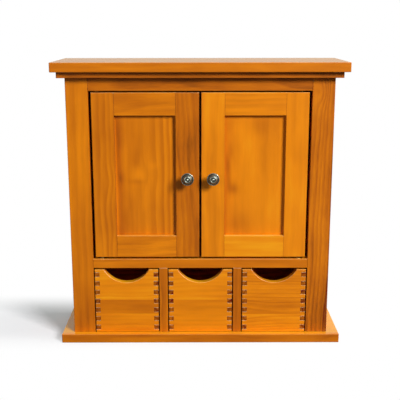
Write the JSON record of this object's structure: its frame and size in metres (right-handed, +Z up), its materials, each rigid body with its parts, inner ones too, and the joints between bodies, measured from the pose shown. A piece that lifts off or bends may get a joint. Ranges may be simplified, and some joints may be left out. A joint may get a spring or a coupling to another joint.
{
  "type": "tabletop cabinet",
  "caption": "Small tabletop cabinet of stained pine: panelled doors with round metal knobs above a row of finger-jointed drawers with scooped fronts.",
  "frame": {"origin": "centre of the underside of the base board, on the surface that the cabinet stands on", "axes": "+Z up; the doors and drawers face -Y; +X to the right as seen from the front"},
  "size_m": [0.432, 0.1405, 0.432],
  "materials": {
    "stained_pine": "honey-stained pine, satin lacquer",
    "pine_panel": "honey-stained pine, satin lacquer",
    "pine_drawer": "honey-stained pine, satin lacquer",
    "plywood": "thin birch plywood, one thin coat of lacquer",
    "beech_dowel": "bare beech",
    "steel": "zinc-plated steel",
    "brass": "turned brass",
    "pewter": "cast pewter-coloured metal, softly polished",
    "brown_plastic": "moulded plastic"
  },
  "bodies": {
    "case": {"back_nails": "steel", "back_panel": "plywood", "base_board": "stained_pine", "base_screws": "steel", "catch_body": "brown_plastic", "catch_magnets": "steel", "catch_screws": "steel", "cornice_front": "stained_pine", "cornice_left": "stained_pine", "cornice_right": "stained_pine", "cupboard_floor": "stained_pine", "cupboard_shelf": "stained_pine", "dowels": "beech_dowel", "hinge_bushes": "brass", "left_drawer_divider": "stained_pine", "left_drawer_guide": "stained_pine", "left_frame_stile": "stained_pine", "left_side_panel": "stained_pine", "middle_frame_rail": "stained_pine", "right_drawer_divider": "stained_pine", "right_drawer_guide": "stained_pine", "right_frame_stile": "stained_pine", "right_side_panel": "stained_pine", "shelf_pins": "steel", "top_board": "stained_pine", "top_frame_rail": "stained_pine"},
    "left_door": {"left_door_bottom_rail": "stained_pine", "left_door_hinge_stile": "stained_pine", "left_door_knob": "pewter", "left_door_meeting_stile": "stained_pine", "left_door_panel": "pine_panel", "left_door_pivot_pins": "steel", "left_door_screws": "steel", "left_door_strike_plate": "steel", "left_door_top_rail": "stained_pine"},
    "right_door": {"right_door_bottom_rail": "stained_pine", "right_door_hinge_stile": "stained_pine", "right_door_knob": "pewter", "right_door_meeting_stile": "stained_pine", "right_door_panel": "pine_panel", "right_door_pivot_pins": "steel", "right_door_screws": "steel", "right_door_strike_plate": "steel", "right_door_top_rail": "stained_pine"},
    "left_drawer": {"left_drawer_back": "pine_drawer", "left_drawer_bottom": "plywood", "left_drawer_front": "pine_drawer", "left_drawer_left_side": "pine_drawer", "left_drawer_right_side": "pine_drawer"},
    "middle_drawer": {"middle_drawer_back": "pine_drawer", "middle_drawer_bottom": "plywood", "middle_drawer_front": "pine_drawer", "middle_drawer_left_side": "pine_drawer", "middle_drawer_right_side": "pine_drawer"},
    "right_drawer": {"right_drawer_back": "pine_drawer", "right_drawer_bottom": "plywood", "right_drawer_front": "pine_drawer", "right_drawer_left_side": "pine_drawer", "right_drawer_right_side": "pine_drawer"}
  },
  "joints": [
    {"name": "left_door_hinge", "type": "hinge", "parent": "case", "child": "left_door", "pos_m": [-0.1514, -0.0475, 0.26225], "axis": [0, 0, -1], "range_deg": [0, 110]},
    {"name": "right_door_hinge", "type": "hinge", "parent": "case", "child": "right_door", "pos_m": [0.1514, -0.0475, 0.26225], "axis": [0, 0, 1], "range_deg": [0, 110]},
    {"name": "left_drawer_slide", "type": "slide", "parent": "case", "child": "left_drawer", "axis": [0, -1, 0], "range_m": [0, 0.095]},
    {"name": "middle_drawer_slide", "type": "slide", "parent": "case", "child": "middle_drawer", "axis": [0, -1, 0], "range_m": [0, 0.095]},
    {"name": "right_drawer_slide", "type": "slide", "parent": "case", "child": "right_drawer", "axis": [0, -1, 0], "range_m": [0, 0.095]}
  ]
}
